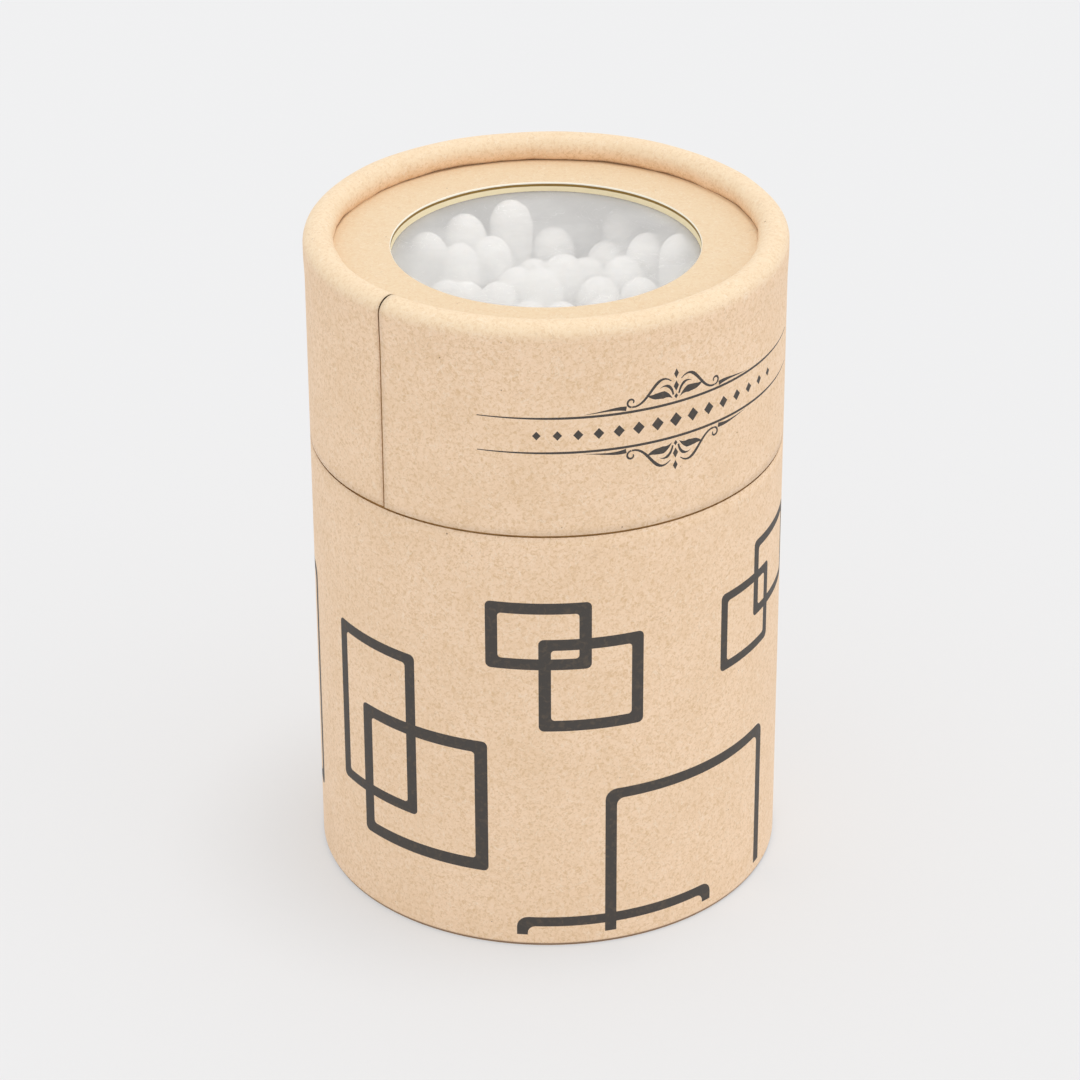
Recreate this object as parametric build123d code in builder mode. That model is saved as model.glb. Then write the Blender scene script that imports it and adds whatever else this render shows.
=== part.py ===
from build123d import *
import math
import os

# A round board tub of cotton swabs with a lift-off lid.
# Millimetres, +Z up, origin at the middle of the tub's foot, -Y towards the front.

# ---------------------------------------------------------------- swabs
swab_length = 75.0
bud_diameter = 5.3
bud_length = 14.5
bud_skirt_wall = 0.28  # cotton left round the stick where the bud thins out
stick_diameter = 2.4
stick_glue_gap = 0.03
stick_end_gap = 0.05
tip_cover = 1.8  # cotton past the end of the stick
swab_gap = 0.8  # between neighbours, from ring to ring
ring_count = 4
ring_phase = 6.0  # degrees from +X to the first swab of each ring
free_place = 5  # the outer ring's place that holds no swab, counted from the first

# ---------------------------------------------------------------- walls
neck_play = 0.35  # outermost buds to the neck
neck_wall = 1.0
neck_lead_in = 0.3
sleeve_clearance = 0.10  # running fit of the lid on the neck
sleeve_wall = 1.25
wrap_thickness = 0.25
wrap_setback = 0.15  # each wrap ends this far from the line where lid and base meet
seam_gap = 0.2
lid_seam_azimuth = -131.8  # degrees from +X
base_seam_azimuth = 90.0

# ---------------------------------------------------------------- heights
foot_recess = 2.0
base_disc_thickness = 2.0
base_disc_glue_gap = 0.05
headroom = 3.9  # bud tips to the window film
neck_top_gap = 0.8  # neck to the window film
film_thickness = 0.2
film_setback = 3.45  # edge of the film in from the edge of the lid disc
lid_disc_thickness = 1.1
lid_disc_glue_gap = 0.05
window_diameter = 38.6
rim_rise = 3.3  # rim crest above the lid disc
lid_height = 28.1

# ---------------------------------------------------------------- rolled rim
rim_outer_roll = 1.85
lip_overhang = 2.2  # rim's inner face in from the sleeve, over the lid disc

# ---------------------------------------------------------------- worked-out sizes
ring_pitch = bud_diameter + swab_gap
bud_radius = bud_diameter / 2
stick_radius = stick_diameter / 2
bore_radius = stick_radius + stick_glue_gap
bore_depth = bud_length - tip_cover + stick_end_gap

neck_inner_radius = ring_count * ring_pitch + bud_radius + neck_play
neck_outer_radius = neck_inner_radius + neck_wall
sleeve_inner_radius = neck_outer_radius + sleeve_clearance
board_outer_radius = sleeve_inner_radius + sleeve_wall
outer_radius = board_outer_radius + wrap_thickness
rim_crest_radius = outer_radius - rim_outer_roll
rim_inner_radius = sleeve_inner_radius - lip_overhang
rim_inner_roll = rim_crest_radius - rim_inner_radius
lid_disc_radius = sleeve_inner_radius - lid_disc_glue_gap
film_radius = lid_disc_radius - film_setback

swab_bottom = foot_recess + base_disc_thickness
swab_top = swab_bottom + swab_length
film_bottom = swab_top + headroom
neck_top = film_bottom - neck_top_gap
lid_disc_bottom = film_bottom + film_thickness
lid_disc_top = lid_disc_bottom + lid_disc_thickness
rim_crest_height = lid_disc_top + rim_rise
split_height = rim_crest_height - lid_height

wrap_arc = 360 - math.degrees(seam_gap / outer_radius)

os.makedirs("parts", exist_ok=True)


# ---------------------------------------------------------------- planes, sections and places
def seam_plane(azimuth):
    """Upright plane from the axis through a seam, where a wrap's sheet starts."""
    angle = math.radians(azimuth)
    return Plane(
        origin=(0, 0, 0),
        x_dir=(math.cos(angle), math.sin(angle), 0),
        z_dir=(math.sin(angle), -math.cos(angle), 0),
    )


def rim_section(cover, foot_height):
    """Lid wall section from foot_height over the rolled rim, cover in from the outside."""
    outer_roll = rim_outer_roll - cover
    inner_roll = rim_inner_roll - cover
    crest = rim_crest_height - cover
    with BuildSketch() as section:
        with BuildLine():
            outside = Line((outer_radius - cover, foot_height), (outer_radius - cover, crest - outer_roll))
            CenterArc((rim_crest_radius, crest - outer_roll), outer_roll, 0, 90)
            inner_arc = CenterArc((rim_crest_radius, crest - inner_roll), inner_roll, 90, 90)
            lip = Line(inner_arc @ 1, (rim_inner_radius + cover, lid_disc_top))
            ledge = Line(lip @ 1, (sleeve_inner_radius, lid_disc_top))
            inside = Line(ledge @ 1, (sleeve_inner_radius, foot_height))
            Line(inside @ 1, outside @ 0)
        make_face()
    return section.sketch


def ring_places(ring, height):
    """Where the swabs of one ring stand, at a height; ring 0 is the one in the middle."""
    if ring == 0:
        return [Location((0, 0, height))]
    places = []
    count = 6 * ring
    for index in range(count):
        if ring == ring_count and index == free_place:
            continue
        azimuth = math.radians(ring_phase + index * 360 / count)
        radius = ring * ring_pitch
        places.append(Location((radius * math.cos(azimuth), radius * math.sin(azimuth), height)))
    return places


def save(piece, name):
    """Label a finished piece and write it under its own name."""
    piece.label = name
    export_step(piece, f"parts/{name}.step")


# ---------------------------------------------------------------- base tube
with BuildPart() as base_tube:
    with BuildSketch(Plane.XY):
        Circle(board_outer_radius)
        Circle(neck_outer_radius, mode=Mode.SUBTRACT)
    extrude(amount=split_height)
save(base_tube.part, "base_tube")

# ---------------------------------------------------------------- base disc
with BuildPart() as base_disc:
    with BuildSketch(Plane.XY.offset(foot_recess)):
        Circle(neck_outer_radius - base_disc_glue_gap)
    extrude(amount=base_disc_thickness)
save(base_disc.part, "base_disc")

# ---------------------------------------------------------------- neck, glued inside the base
with BuildPart() as neck_tube:
    with BuildSketch(Plane.XY.offset(swab_bottom)):
        Circle(neck_outer_radius)
        Circle(neck_inner_radius, mode=Mode.SUBTRACT)
    extrude(amount=neck_top - swab_bottom)
    top_edges = neck_tube.edges().group_by(Axis.Z)[-1]
    chamfer(top_edges.sort_by(SortBy.RADIUS)[-1], length=neck_lead_in)
save(neck_tube.part, "neck_tube")

# ---------------------------------------------------------------- base wrap, one sheet with a seam
with BuildPart() as base_wrap:
    with BuildSketch(seam_plane(base_seam_azimuth)):
        with BuildLine():
            Polyline(
                (board_outer_radius, 0),
                (outer_radius, 0),
                (outer_radius, split_height - wrap_setback),
                (board_outer_radius, split_height - wrap_setback),
                close=True,
            )
        make_face()
    revolve(axis=Axis.Z, revolution_arc=wrap_arc)
save(base_wrap.part, "base_wrap")

# ---------------------------------------------------------------- lid sleeve with its rolled rim
lid_board_section = rim_section(wrap_thickness, split_height)
lid_covered_section = rim_section(0, split_height + wrap_setback)

with BuildPart() as lid_sleeve:
    with BuildSketch(Plane.XZ):
        add(lid_board_section)
    revolve(axis=Axis.Z)
save(lid_sleeve.part, "lid_sleeve")

# ---------------------------------------------------------------- lid wrap, turned over the rim
with BuildPart() as lid_wrap:
    with BuildSketch(seam_plane(lid_seam_azimuth)):
        add(lid_covered_section)
        add(lid_board_section, mode=Mode.SUBTRACT)
    revolve(axis=Axis.Z, revolution_arc=wrap_arc)
save(lid_wrap.part, "lid_wrap")

# ---------------------------------------------------------------- lid disc with its window
with BuildPart() as lid_disc:
    with BuildSketch(Plane.XY.offset(lid_disc_bottom)):
        Circle(lid_disc_radius)
        Circle(window_diameter / 2, mode=Mode.SUBTRACT)
    extrude(amount=lid_disc_thickness)
save(lid_disc.part, "lid_disc")

# ---------------------------------------------------------------- window film
with BuildPart() as window_film:
    with BuildSketch(Plane.XY.offset(film_bottom)):
        Circle(film_radius)
    extrude(amount=film_thickness)
save(window_film.part, "window_film")

# ---------------------------------------------------------------- one swab: stick and bud
with BuildPart() as stick:
    with BuildSketch(Plane.XY):
        Circle(stick_radius)
    extrude(amount=swab_length - 2 * tip_cover)

# The bud stands on its thin end, with its tip up and a blind bore for the stick.
with BuildPart() as bud:
    with BuildSketch(Plane.XZ):
        with BuildLine():
            thin_end = Line((bore_radius, 0), (bore_radius + bud_skirt_wall, 0))
            dome = CenterArc((0, bud_length - bud_radius), bud_radius, 0, 90)
            TangentArc(dome @ 0, thin_end @ 1, tangent=(0, -1))
            axis_line = Line(dome @ 1, (0, bore_depth))
            bore_end = Line(axis_line @ 1, (bore_radius, bore_depth))
            Line(bore_end @ 1, thin_end @ 0)
        make_face()
    revolve(axis=Axis.Z)

# ---------------------------------------------------------------- rings of swabs
for ring in range(ring_count + 1):
    with BuildPart() as swab_sticks:
        with Locations(*ring_places(ring, swab_bottom + tip_cover)):
            add(stick.part)
    save(swab_sticks.part, f"swab_sticks_ring_{ring}")

    with BuildPart() as upper_buds:
        with Locations(*ring_places(ring, swab_top - bud_length)):
            add(bud.part)
    save(upper_buds.part, f"cotton_buds_upper_ring_{ring}")

    with BuildPart() as lower_buds:
        with Locations(*ring_places(ring, swab_bottom + bud_length)):
            add(bud.part, rotation=(180, 0, 0))
    save(lower_buds.part, f"cotton_buds_lower_ring_{ring}")
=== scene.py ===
"""Looks of a round board tub of cotton swabs: kraft wraps, print, window and swabs.

Lengths are metres unless a name ends in _MM. The front of the tub faces -Y, and a place on its
wall is given by its distance round from the front, towards +X, and its height.
"""

import math

import bmesh
import bpy
import numpy as np
from bpy.props import FloatProperty, FloatVectorProperty, IntProperty, PointerProperty
from mathutils import Matrix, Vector
from mathutils.geometry import delaunay_2d_cdt


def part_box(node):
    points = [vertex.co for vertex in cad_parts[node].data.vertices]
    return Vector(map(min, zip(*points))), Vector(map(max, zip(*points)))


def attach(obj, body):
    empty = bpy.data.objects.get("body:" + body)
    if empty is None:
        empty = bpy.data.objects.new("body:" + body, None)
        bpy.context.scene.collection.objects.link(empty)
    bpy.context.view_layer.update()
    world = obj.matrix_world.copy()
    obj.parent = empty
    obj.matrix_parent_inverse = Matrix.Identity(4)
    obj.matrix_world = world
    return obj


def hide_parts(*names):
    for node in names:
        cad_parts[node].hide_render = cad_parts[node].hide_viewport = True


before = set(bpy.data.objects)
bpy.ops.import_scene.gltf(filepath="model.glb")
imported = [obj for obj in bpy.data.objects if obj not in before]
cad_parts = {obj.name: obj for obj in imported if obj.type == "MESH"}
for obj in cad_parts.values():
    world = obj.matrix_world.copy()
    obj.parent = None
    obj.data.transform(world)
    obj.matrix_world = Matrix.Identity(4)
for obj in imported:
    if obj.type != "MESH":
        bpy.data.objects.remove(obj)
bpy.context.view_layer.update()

bl_info = {
    "name": "Cotton swab tub",
    "version": (1, 0, 0),
    "blender": (4, 5, 0),
    "location": "3D View > Sidebar > Swab tub",
    "description": "Kraft paper, print, window and swabs of a round board tub",
    "category": "Object",
}

MM = 0.001

# ---------------------------------------------------------------- sizes read from the frame
LID_WRAP_LOW, LID_WRAP_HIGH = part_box("lid_wrap")
BASE_WRAP_LOW, BASE_WRAP_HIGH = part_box("base_wrap")
LID_DISC_LOW, LID_DISC_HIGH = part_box("lid_disc")
LID_SLEEVE_LOW, LID_SLEEVE_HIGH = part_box("lid_sleeve")
BUD_LOW, BUD_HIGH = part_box("cotton_buds_upper_ring_0")
STICK_LOW, STICK_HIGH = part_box("swab_sticks_ring_0")

OUTER_RADIUS = LID_WRAP_HIGH.x
GIRTH_MM = 2 * math.pi * OUTER_RADIUS / MM
BUD_RADIUS = BUD_HIGH.x
BUD_LENGTH = BUD_HIGH.z - BUD_LOW.z
STICK_RADIUS = STICK_HIGH.x
SWAB_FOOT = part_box("cotton_buds_lower_ring_0")[0].z
SWAB_LENGTH = BUD_HIGH.z - SWAB_FOOT

RING_COUNT = 4
FIRST_PLACE_TURN = math.radians(6)
FREE_PLACE = 5  # the outer ring's place that holds no swab
SECOND_RING_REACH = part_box("cotton_buds_upper_ring_2")[1].x - BUD_RADIUS
RING_PITCH = SECOND_RING_REACH / (2 * math.cos(FIRST_PLACE_TURN))

# ---------------------------------------------------------------- gaps, steps and waves
LID_DISC_GLUE = 0.05 * MM
BASE_SEAM_GAP_MM = 0.10
LID_SEAM_GAP_MM = 0.34
SEAM_DIP_WIDTH = 9 * MM
RIM_FLARE_START = 5 * MM  # below the bead
RIM_FLARE_WIDTH = 4 * MM
WINDOW_BEVEL = 0.08 * MM
BUD_TIP_LENGTH = 1.25 * BUD_RADIUS
# Painted shade of the crevice under the rolled rim: a brown band round the lid's face, from and to these
# radii.
CREVICE_SHADE_BAND = (26.42 * MM, 26.80 * MM)  # from and to, out from the axis
FLOOR_HALF = 3.0
ROUND_STEPS = 192
FACE_STEPS = 256
UPPER_BUD_STEPS = 24
LOWER_BUD_STEPS = 20
STICK_STEPS = 14
SHARP_DEGREES = 40

# Unevenness round the rolled rim: each wave is its count, size and phase.
CREST_WAVES = ((5, 0.05 * MM, 0.4), (11, 0.03 * MM, 2.1), (23, 0.015 * MM, 4.0))
TUCK_WAVES = ((7, 0.05 * MM, 1.3), (16, 0.035 * MM, 0.2), (37, 0.02 * MM, 2.6))
SAG_WAVES = ((4, 0.05 * MM, 1.0), (9, 0.04 * MM, 3.0))

# ---------------------------------------------------------------- print on the wraps, in millimetres
# Base: overlapping plain frames, each left, right, bottom, top and line width. A frame whose
# bottom is PRINT_CUT_MM runs off the printed area, so it has no foot bar.
PRINT_CUT_MM = 1.7
BASE_FRAMES_MM = (
    (-31.6, -17.6, 16.6, 40.0, 1.5),
    (-26.8, -7.7, 10.8, 29.9, 1.7),
    (-7.8, 5.4, 40.8, 50.2, 1.55),
    (-1.2, 12.1, 32.0, 45.1, 1.55),
    (24.1, 35.5, 34.9, 46.0, 1.25),
    (31.2, 44.0, 39.7, 50.5, 1.25),
    (7.2, 34.5, PRINT_CUT_MM, 22.9, 1.5),
    (-4.1, 22.9, PRINT_CUT_MM, 4.4, 1.4),
    (-62.0, -41.0, 9.0, 42.0, 1.5),
    (-70.5, -52.5, 24.5, 49.0, 1.5),
    (-90.0, -78.0, 11.5, 26.0, 1.4),
    (-83.5, -73.0, 19.5, 32.0, 1.4),
    (52.5, 66.0, 13.5, 27.0, 1.5),
    (60.5, 75.5, 20.5, 36.0, 1.5),
    (80.0, 91.0, 38.5, 50.0, 1.3),
    (71.5, 84.0, 43.5, 53.0, 1.3),
    (69.0, 91.5, PRINT_CUT_MM, 12.5, 1.5),
)
WIDE_FRAME_MM = 20.0
WIDE_CORNER_MM = 1.5
CORNER_MM = 0.7

# Lid: two thin rules with a plain border of lozenges between them and a scroll outside each.
RULE_LEFT_MM = -8.5
RULE_RIGHT_MM = 42.0
RULE_HEIGHTS_MM = (70.8, 75.4)
RULE_LINE_MM = 0.34
RULE_TAPER = (0.35, 0.9, 1, 1, 0.9, 0.35)
SCROLL_MIDDLE_MM = 16.2
LOZENGE_COUNT = 15
LOZENGE_STEP_MM = 2.5
LOZENGE_SHRINK = 0.055  # for each step from the middle

# ---------------------------------------------------------------- fixed colours
WHITE = (1.0, 1.0, 1.0, 1.0)
PALE_HAIR = (1.0, 0.93, 0.82, 1.0)
BARE_BOARD = ((0.50, 0.29, 0.11), (0.35, 0.19, 0.06))
LINER_BOARD = ((0.90, 0.895, 0.885), (0.80, 0.79, 0.78))
# The window's cut edge: a pale lip, partly the cut's burr and partly a painted highlight; a brown middle,
# the board's core in painted shade; a cream foot, a painted reflection of the wall in the film.
CUT_LIP_HIGHLIGHT = (1.0, 0.95, 0.82, 1.0)
CUT_CORE_SHADE = (0.28, 0.17, 0.04, 1.0)
CUT_FOOT_REFLECTION = (0.97, 0.85, 0.58, 1.0)
FILM_HAZE = (0.985, 0.975, 0.96, 1.0)
FILM_CLEAR = (0.995, 0.990, 0.985, 1.0)
COTTON_SHADE = (0.80, 0.74, 0.64, 1.0)
STICK_GRAIN = (0.45, 0.28, 0.13, 1.0)
FLOOR_SHADE = (0.3, 0.3, 0.3, 1.0)


# ---------------------------------------------------------------- settings
class TubPaperSettings(bpy.types.PropertyGroup):
    """Sizes and colours of the paper wraps and the lid's face."""

    sheet_thickness: FloatProperty(
        name="Sheet", description="Thickness of the wrap paper",
        default=0.13 * MM, unit="LENGTH", precision=5,
    )
    seam_turn: FloatProperty(
        name="Lid seam", description="Seam's place round from the front",
        default=math.radians(-41.8), subtype="ANGLE",
    )
    seam_step: FloatProperty(
        name="Seam step", description="How far the lower edge of the seam dips",
        default=0.12 * MM, unit="LENGTH", precision=5,
    )
    bead: FloatProperty(
        name="Bead", description="Radius of the rolled rim's section",
        default=1.85 * MM, unit="LENGTH", precision=5,
    )
    rim_flare: FloatProperty(
        name="Rim flare", description="How far the rim stands proud",
        default=0.12 * MM, unit="LENGTH", precision=5,
    )
    face_rise: FloatProperty(
        name="Face rise", description="How far the face stands up at the front",
        default=0.9 * MM, unit="LENGTH", precision=5,
    )
    foot_tuck: FloatProperty(
        name="Foot tuck", description="How far the base wrap's foot curls in",
        default=0.3 * MM, unit="LENGTH", precision=5,
    )
    window_radius: FloatProperty(
        name="Window", description="Radius of the window",
        default=19.3 * MM, unit="LENGTH", precision=5,
    )
    kraft: FloatVectorProperty(
        name="Kraft", description="Paper colour",
        default=(0.915, 0.675, 0.472), min=0, max=1, subtype="COLOR",
    )
    kraft_dark: FloatVectorProperty(
        name="Kraft, darker", description="Colour of its clouds and fibres",
        default=(0.73, 0.50, 0.29), min=0, max=1, subtype="COLOR",
    )
    # Painted highlight: a lighter, golden copy of the paper for the rim's top, standing in for its sheen
    # and the extra light falling there.
    kraft_rim_highlight: FloatVectorProperty(
        name="Kraft, golden", description="Its colour on the rim",
        default=(0.895, 0.712, 0.492), min=0, max=1, subtype="COLOR",
    )
    # Painted light: a golden copy of the paper for the recessed face, standing in for the sheen and warm
    # bounce light there.
    kraft_face_painted_light: FloatVectorProperty(
        name="Kraft, face", description="Its colour on the recessed face",
        default=(0.815, 0.640, 0.425), min=0, max=1, subtype="COLOR",
    )
    # Also the colour of the painted contact shadow at the foot and, mixed, of the painted crevice shade
    # round the face.
    fleck_and_shade: FloatVectorProperty(
        name="Fleck", description="Colour of its specks",
        default=(0.20, 0.11, 0.06), min=0, max=1, subtype="COLOR",
    )
    ink: FloatVectorProperty(
        name="Ink", description="Colour of the print",
        default=(0.062, 0.054, 0.048), min=0, max=1, subtype="COLOR",
    )


class TubSwabSettings(bpy.types.PropertyGroup):
    """How the swabs stand and how they look."""

    lean: FloatProperty(
        name="Lean", description="Largest lean of a swab",
        default=math.radians(0.45), subtype="ANGLE",
    )
    shortest: FloatProperty(
        name="Shortest", description="Least length over the usual",
        default=-3.0 * MM, unit="LENGTH", precision=5,
    )
    longest: FloatProperty(
        name="Longest", description="Most length over the usual",
        default=3.7 * MM, unit="LENGTH", precision=5,
    )
    lump: FloatProperty(
        name="Lumps", description="Unevenness of the cotton",
        default=0.22 * MM, unit="LENGTH", precision=5,
    )
    seed: IntProperty(name="Seed", description="Seed of what is random", default=494)
    cotton: FloatVectorProperty(
        name="Cotton", description="Cotton colour",
        default=(0.97, 0.965, 0.95), min=0, max=1, subtype="COLOR",
    )
    stick: FloatVectorProperty(
        name="Stick", description="Stick colour",
        default=(0.72, 0.55, 0.33), min=0, max=1, subtype="COLOR",
    )


class TubStageSettings(bpy.types.PropertyGroup):
    """Camera, floor and light."""

    camera_side: FloatProperty(
        name="Side", description="Camera to the right",
        default=-0.92 * MM, unit="LENGTH", precision=5,
    )
    camera_back: FloatProperty(
        name="Back", description="Camera in front of the tub",
        default=456.8 * MM, unit="LENGTH", precision=4,
    )
    camera_height: FloatProperty(
        name="Height", description="Camera height",
        default=292.8 * MM, unit="LENGTH", precision=4,
    )
    camera_tilt: FloatProperty(
        name="Tilt", description="Camera below level",
        default=math.radians(28.71), subtype="ANGLE",
    )
    camera_roll: FloatProperty(
        name="Roll", description="Camera about its view",
        default=math.radians(-0.276), subtype="ANGLE",
    )
    camera_lens: FloatProperty(
        name="Lens", description="Focal length", default=134.63, unit="CAMERA",
    )
    floor: FloatVectorProperty(
        name="Floor", description="Floor colour",
        default=(0.440, 0.441, 0.447), min=0, max=1, subtype="COLOR",
    )
    glow: FloatProperty(
        name="Glow", description="Strength of the floor's own light", default=0.370, min=0,
    )
    sky: FloatProperty(
        name="Sky", description="Strength of the even light", default=0.95, min=0,
    )
    key: FloatProperty(
        name="Key", description="Strength of the light from above", default=0.55, min=0,
    )
    side: FloatProperty(
        name="Side light", description="Strength of the light from the right", default=0.22, min=0,
    )


# ---------------------------------------------------------------- node trees
class Tree:
    """Short hand for building a node tree: values go to sockets, and sockets are linked."""

    def __init__(self, tree):
        self.tree = tree

    def feed(self, socket, value):
        if isinstance(value, bpy.types.NodeSocket):
            self.tree.links.new(value, socket)
        else:
            socket.default_value = value

    def add(self, kind, settings=None, **inputs):
        """A new node with its settings; inputs are named with _ for a space."""
        made = self.tree.nodes.new(kind)
        for name, value in (settings or {}).items():
            setattr(made, name, value)
        for name, value in inputs.items():
            self.feed(made.inputs[name.replace("_", " ")], value)
        return made

    def reckon(self, operation, *values):
        """The result of a Math node."""
        made = self.add("ShaderNodeMath", {"operation": operation})
        for socket, value in zip(made.inputs, values):
            self.feed(socket, value)
        return made.outputs[0]

    def plus(self, first, second):
        return self.reckon("ADD", first, second)

    def minus(self, first, second):
        return self.reckon("SUBTRACT", first, second)

    def times(self, first, second):
        return self.reckon("MULTIPLY", first, second)

    def vector(self, operation, *values):
        """A Vector Math node."""
        made = self.add("ShaderNodeVectorMath", {"operation": operation})
        for socket, value in zip(made.inputs, values):
            self.feed(socket, value)
        return made

    def blend(self, share, low, high):
        """The result of a colour Mix node."""
        made = self.add("ShaderNodeMix", {"data_type": "RGBA"})
        for index, value in ((0, share), (6, low), (7, high)):
            self.feed(made.inputs[index], value)
        return made.outputs[2]

    def band(self, value, low, high, floor=0.0, ceiling=1.0):
        """A value taken from low to high, put smoothly between floor and ceiling."""
        made = self.add("ShaderNodeMapRange", {"interpolation_type": "SMOOTHSTEP"})
        for index, given in enumerate((value, low, high, floor, ceiling)):
            self.feed(made.inputs[index], given)
        return made.outputs[0]

    def noise(self, where, scale, detail=2.0, distortion=0.0, roughness=0.5):
        """The value of a Noise Texture."""
        made = self.add(
            "ShaderNodeTexNoise",
            Vector=where, Scale=scale, Detail=detail, Distortion=distortion, Roughness=roughness,
        )
        return made.outputs[0]

    def wander(self, where, scale, size):
        """A noise about nought, of a given size."""
        return self.times(self.minus(self.noise(where, scale, 3.0), 0.5), size)

    def thin_lines(self, where, scale, distortion, width):
        """Where a distorted noise crosses its middle: thin winding lines, 1 on the line."""
        field = self.noise(where, scale, 2.0, distortion)
        return self.band(self.reckon("ABSOLUTE", self.minus(field, 0.5)), 0.0, width, 1.0, 0.0)


def opaque(colour):
    """A colour with full alpha."""
    return (*colour[:3], 1.0)


def new_material(name):
    """A material, its tree, its Principled shader and its Object coordinates."""
    material = bpy.data.materials.new(name)
    material.use_nodes = True
    tree = Tree(material.node_tree)
    where = tree.add("ShaderNodeTexCoord").outputs["Object"]
    return material, tree, material.node_tree.nodes["Principled BSDF"], where


def dress(tree, shader, colour, roughness, specular):
    """Give the shader its colour, roughness and specular level."""
    tree.feed(shader.inputs["Base Color"], colour)
    tree.feed(shader.inputs["Roughness"], roughness)
    shader.inputs["Specular IOR Level"].default_value = specular


def emboss(tree, shader, height, strength, depth):
    """Give the shader fine relief."""
    bump = tree.add("ShaderNodeBump", Height=height, Strength=strength, Distance=depth)
    tree.feed(shader.inputs["Normal"], bump.outputs[0])


def kraft_pattern(tree, where, paper, painted_light_colour, painted_light_from, painted_light_to):
    """Colour and relief of kraft paper: slow clouds, short fibres, light hairs and a few specks.

    The paper turns to a second colour between two heights, and is calmer there; on the rim this is a
    lighter golden colour, a painted highlight for the sheen and extra light on its top. Its lowest 0.6 mm
    turns to the speck colour, a painted contact shadow at the foot.
    """
    dark = opaque(paper.kraft_dark)
    fleck_and_shade = opaque(paper.fleck_and_shade)
    height = tree.add("ShaderNodeSeparateXYZ", Vector=where).outputs["Z"]
    # Between the two heights the paper takes the painted light colour, and its grain is calmer; on the rim
    # this is a painted highlight.
    golden = tree.band(height, painted_light_from, painted_light_to)
    light = tree.blend(golden, opaque(paper.kraft), opaque(painted_light_colour))
    calm = tree.minus(1.0, tree.times(golden, 0.5))
    clouds = tree.noise(where, 130.0, 4.0)
    grain = tree.noise(where, 2300.0, 3.0, 0.9, 0.65)
    fibres = tree.noise(where, 620.0, 5.0, 1.6, 0.62)
    colour = light
    for field, low, high, share in (
        (clouds, 0.30, 0.72, 0.20),
        (fibres, 0.42, 0.74, 0.36),
        (grain, 0.44, 0.68, 0.95),
    ):
        cover = tree.times(tree.band(field, low, high, 0.0, share), calm)
        colour = tree.blend(cover, colour, dark)

    light_hairs = tree.times(tree.thin_lines(where, 420.0, 2.4, 0.022), 0.34)
    colour = tree.blend(light_hairs, colour, tree.blend(0.6, light, PALE_HAIR))
    patches = tree.band(tree.noise(where, 240.0), 0.56, 0.66)
    dark_hairs = tree.times(tree.times(tree.thin_lines(where, 300.0, 3.0, 0.012), patches), 0.30)
    colour = tree.blend(dark_hairs, colour, tree.blend(0.5, dark, fleck_and_shade))

    for scale, size, rarity in ((330.0, 0.055, 0.90), (560.0, 0.07, 0.86)):
        specks = tree.add("ShaderNodeTexVoronoi", Vector=where, Scale=scale)
        chance = tree.add("ShaderNodeSeparateColor", Color=specks.outputs["Color"]).outputs[0]
        round_speck = tree.band(specks.outputs["Distance"], 0.4 * size, size, 0.8, 0.0)
        speck = tree.times(round_speck, tree.reckon("GREATER_THAN", chance, rarity))
        colour = tree.blend(speck, colour, fleck_and_shade)

    # Painted contact shadow: the lowest 0.6 mm of the paper darkens almost to the speck colour, where the
    # tub meets the floor.
    painted_foot_shadow = tree.band(height, 0.25 * MM, 0.60 * MM, 0.97, 0.0)
    return tree.blend(painted_foot_shadow, colour, fleck_and_shade), fibres


def painted_crevice_shade(tree, where, colour, paper):
    """The colour with an uneven brown line round the face, where the rolled rim meets it: painted shade of
    the crevice under the rim.
    """
    radius = tree.vector("LENGTH", tree.vector("MULTIPLY", where, (1.0, 1.0, 0.0)).outputs[0])
    place = tree.plus(radius.outputs["Value"], tree.wander(where, 220.0, 0.5 * MM))
    # Painted crevice shade round the face.
    line = tree.band(place, *CREVICE_SHADE_BAND, 0.0, 0.88)
    return tree.blend(line, colour, tree.blend(0.6, opaque(paper.kraft_dark), opaque(paper.fleck_and_shade)))


def kraft_material(name, paper, painted_light_colour, painted_light_from, painted_light_to, crevice_shaded=False):
    """Brown kraft paper that turns to a second, painted light colour between two heights; with
    crevice_shaded it gets a painted crevice shade round the face.
    """
    material, tree, shader, where = new_material(name)
    colour, relief = kraft_pattern(tree, where, paper, painted_light_colour, painted_light_from, painted_light_to)
    if crevice_shaded:
        colour = painted_crevice_shade(tree, where, colour, paper)
    dress(tree, shader, colour, tree.band(relief, 0.3, 0.7, 0.58, 0.74), 0.5)
    emboss(tree, shader, relief, 0.4, 0.05 * MM)


def ink_material(paper):
    """Print: dark grey ink with the paper's grain in it."""
    material, tree, shader, where = new_material("print_ink")
    grain = tree.noise(where, 1500.0, 3.0, 0.6)
    worn = tree.blend(0.05, opaque(paper.ink), opaque(paper.kraft_dark))
    colour = tree.blend(tree.band(grain, 0.46, 0.74), opaque(paper.ink), worn)
    dress(tree, shader, colour, tree.band(grain, 0.3, 0.7, 0.50, 0.66), 0.30)
    emboss(tree, shader, grain, 0.2, 0.03 * MM)


def board_material(name, colours):
    """Cut or bare board: fibres in soft layers of a light and a dark colour."""
    material, tree, shader, where = new_material(name)
    light, dark = [opaque(colour) for colour in colours]
    flat = tree.vector("MULTIPLY", where, (1.0, 1.0, 5.0)).outputs[0]
    layers = tree.noise(flat, 700.0, 4.0, 0.4)
    clouds = tree.noise(where, 160.0, 3.0)
    colour = tree.blend(tree.band(layers, 0.3, 0.7), light, dark)
    colour = tree.blend(tree.band(clouds, 0.35, 0.7, 0.0, 0.35), colour, dark)
    dress(tree, shader, colour, tree.band(layers, 0.3, 0.7, 0.80, 0.95), 0.25)
    emboss(tree, shader, layers, 0.3, 0.05 * MM)
    return material


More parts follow.
